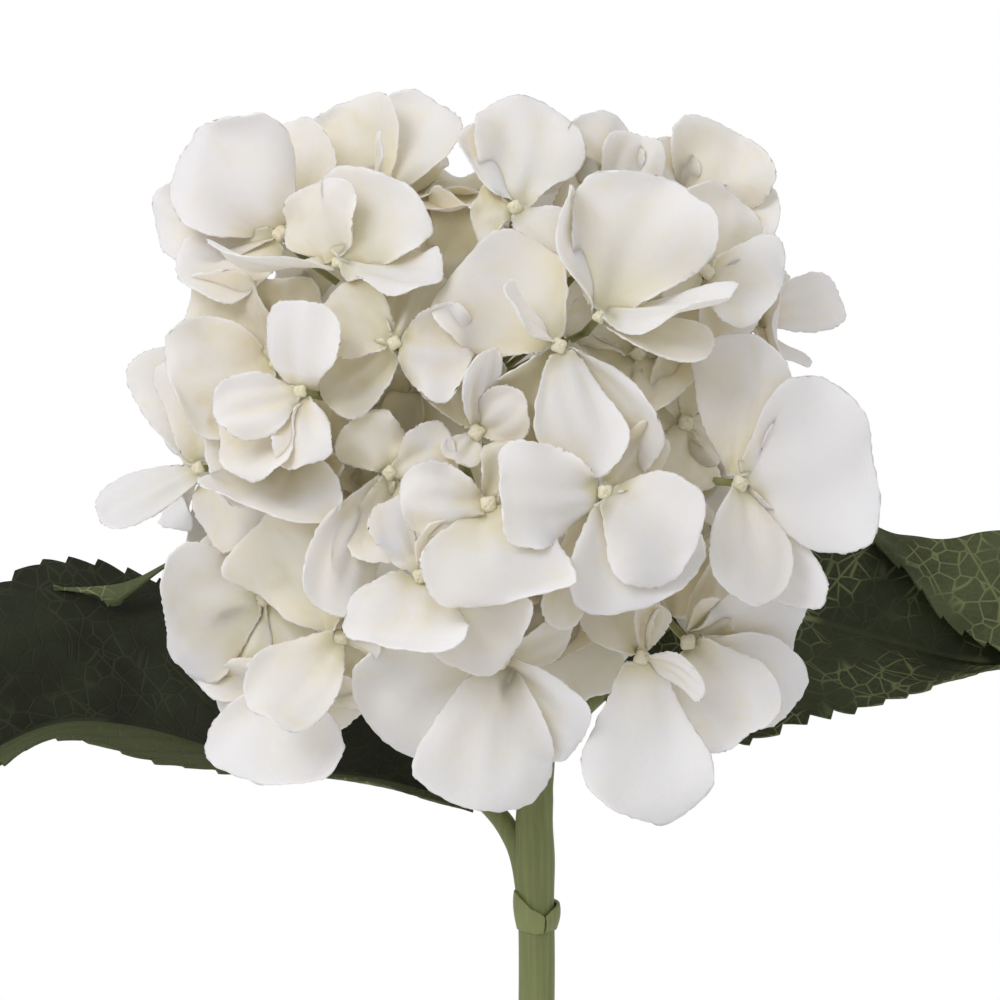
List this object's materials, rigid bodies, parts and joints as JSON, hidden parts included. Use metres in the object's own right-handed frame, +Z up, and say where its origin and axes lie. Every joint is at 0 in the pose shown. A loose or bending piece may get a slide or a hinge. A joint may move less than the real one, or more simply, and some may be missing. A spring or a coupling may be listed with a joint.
{
  "type": "cut hydrangea",
  "caption": "Cut hydrangea: a round mophead of pale four-sepalled florets on a forked green stem with two serrated leaves.",
  "frame": {"origin": "centre of the flat cut end of the stem", "axes": "+Z up along the stem to the head; -Y is the side the head's fullest face and the viewer are on; +X to the viewer's right"},
  "size_m": [0.3243, 0.1427, 0.3405],
  "materials": {
    "sepals": "matt, thin, softly creased, cream white with a greenish throat and raw pale edges",
    "head_branches": "smooth matt yellow-green",
    "leaves": "matt dark green upper side, lighter underside, paler net of veins",
    "collar": "satin light green",
    "stem": "satin olive green with faint lengthwise ridges"
  },
  "bodies": {
    "root": {"stem": "stem", "collar_scale_front": "collar", "collar_scale_back": "collar", "petiole_left": "stem", "petiole_right": "stem", "leaf_left": "leaves", "leaf_right": "leaves", "floret_01": "sepals", "floret_02": "sepals", "floret_03": "sepals", "floret_04": "sepals", "floret_05": "sepals", "floret_06": "sepals", "floret_07": "sepals", "floret_08": "sepals", "floret_09": "sepals", "floret_10": "sepals", "floret_11": "sepals", "floret_12": "sepals", "floret_13": "sepals", "floret_14": "sepals", "floret_15": "sepals", "floret_16": "sepals", "floret_17": "sepals", "floret_18": "sepals", "floret_19": "sepals", "floret_20": "sepals", "floret_21": "sepals", "floret_22": "sepals", "floret_23": "sepals", "floret_24": "sepals", "floret_25": "sepals", "floret_26": "sepals", "floret_27": "sepals", "floret_28": "sepals", "floret_29": "sepals", "floret_30": "sepals", "floret_31": "sepals", "floret_32": "sepals", "floret_33": "sepals", "floret_34": "sepals", "floret_35": "sepals", "floret_36": "sepals", "floret_37": "sepals", "floret_38": "sepals", "floret_39": "sepals", "floret_40": "sepals", "floret_41": "sepals", "floret_42": "sepals", "floret_43": "sepals", "floret_44": "sepals", "floret_45": "sepals", "floret_46": "sepals", "floret_47": "sepals", "limb_1": "head_branches", "limb_2": "head_branches", "limb_3": "head_branches", "limb_4": "head_branches", "limb_5": "head_branches"}
  },
  "joints": []
}
